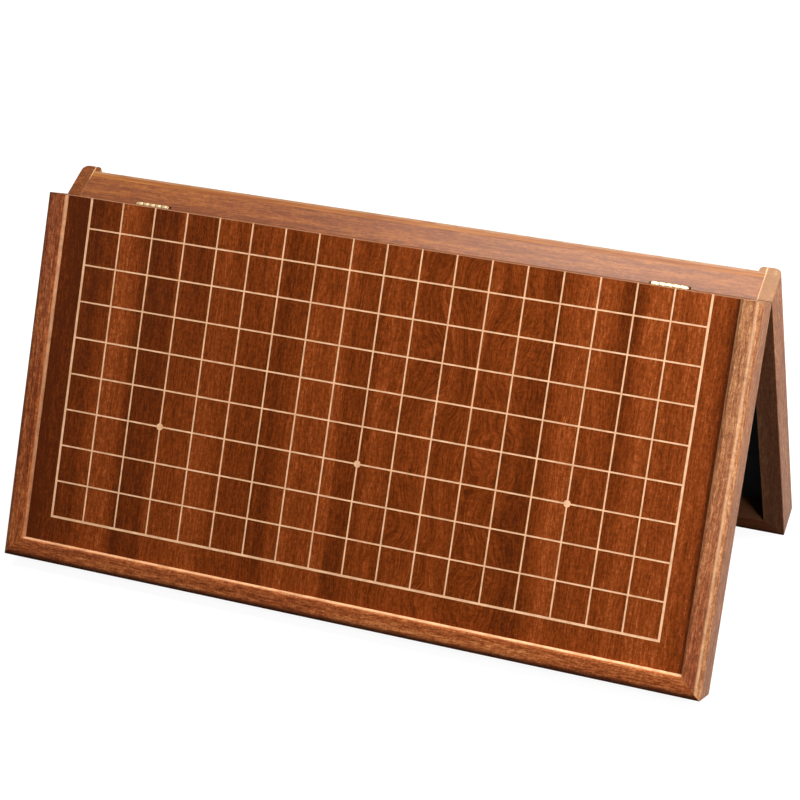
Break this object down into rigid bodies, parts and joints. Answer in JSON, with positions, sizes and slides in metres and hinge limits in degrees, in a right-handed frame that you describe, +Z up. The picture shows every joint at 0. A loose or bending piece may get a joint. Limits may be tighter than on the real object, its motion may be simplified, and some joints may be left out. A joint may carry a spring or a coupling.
{
  "type": "folding go board with stone drawers",
  "caption": "Folding go board stood up as a tent: framed ribbon-grain leaves on brass butt hinges, raised rounded lip, lined wells and a sliding stone drawer in each leaf.",
  "frame": {"origin": "centre of the footprint of the tent, on the surface it stands on, under the hinge line", "axes": "+X along the board to the right of someone facing the front leaf, +Y towards the rear leaf, +Z up"},
  "size_m": [0.48, 0.246, 0.2325],
  "materials": {
    "play_wood": "satin lacquered ribbon-grain red-brown hardwood",
    "rail_wood": "satin lacquered straight-grain brown hardwood",
    "inner_wood": "plain oiled wood",
    "line_inlay": "pale satin inlay strip",
    "black_felt": "short black felt",
    "brass": "polished"
  },
  "bodies": {
    "front_leaf": {"front_play_panel": "play_wood", "front_grid_lines": "line_inlay", "front_outer_rail": "rail_wood", "front_hinge_rail": "rail_wood", "front_left_rail": "rail_wood", "front_right_rail": "rail_wood", "front_bay_divider": "inner_wood", "front_bay_floor": "inner_wood", "front_well_lining": "black_felt", "front_inner_runner": "inner_wood", "front_outer_runner": "inner_wood", "front_hinge_screws": "brass", "left_hinge_front_plate": "brass", "right_hinge_front_plate": "brass", "left_hinge_pin": "brass", "right_hinge_pin": "brass"},
    "rear_leaf": {"rear_play_panel": "play_wood", "rear_grid_lines": "line_inlay", "rear_outer_rail": "rail_wood", "rear_hinge_rail": "rail_wood", "rear_left_rail": "rail_wood", "rear_right_rail": "rail_wood", "rear_bay_divider": "inner_wood", "rear_bay_floor": "inner_wood", "rear_well_lining": "black_felt", "rear_inner_runner": "inner_wood", "rear_outer_runner": "inner_wood", "rear_hinge_screws": "brass", "left_hinge_rear_plate": "brass", "right_hinge_rear_plate": "brass"},
    "front_drawer": {"front_drawer_front": "rail_wood", "front_drawer_inner_side": "inner_wood", "front_drawer_outer_side": "inner_wood", "front_drawer_back": "inner_wood", "front_drawer_bottom": "inner_wood", "front_drawer_lining": "black_felt", "front_drawer_stop_pegs": "inner_wood"},
    "rear_drawer": {"rear_drawer_front": "rail_wood", "rear_drawer_inner_side": "inner_wood", "rear_drawer_outer_side": "inner_wood", "rear_drawer_back": "inner_wood", "rear_drawer_bottom": "inner_wood", "rear_drawer_lining": "black_felt", "rear_drawer_stop_pegs": "inner_wood"}
  },
  "joints": [
    {"name": "leaf_fold", "type": "hinge", "parent": "front_leaf", "child": "rear_leaf", "pos_m": [0, 0, 0.22146], "axis": [1, 0, 0], "range_deg": [-48.4, 131.6]},
    {"name": "front_drawer_slide", "type": "slide", "parent": "front_leaf", "child": "front_drawer", "axis": [-1, 0, 0], "range_m": [0, 0.17]},
    {"name": "rear_drawer_slide", "type": "slide", "parent": "rear_leaf", "child": "rear_drawer", "axis": [-1, 0, 0], "range_m": [0, 0.17]}
  ]
}
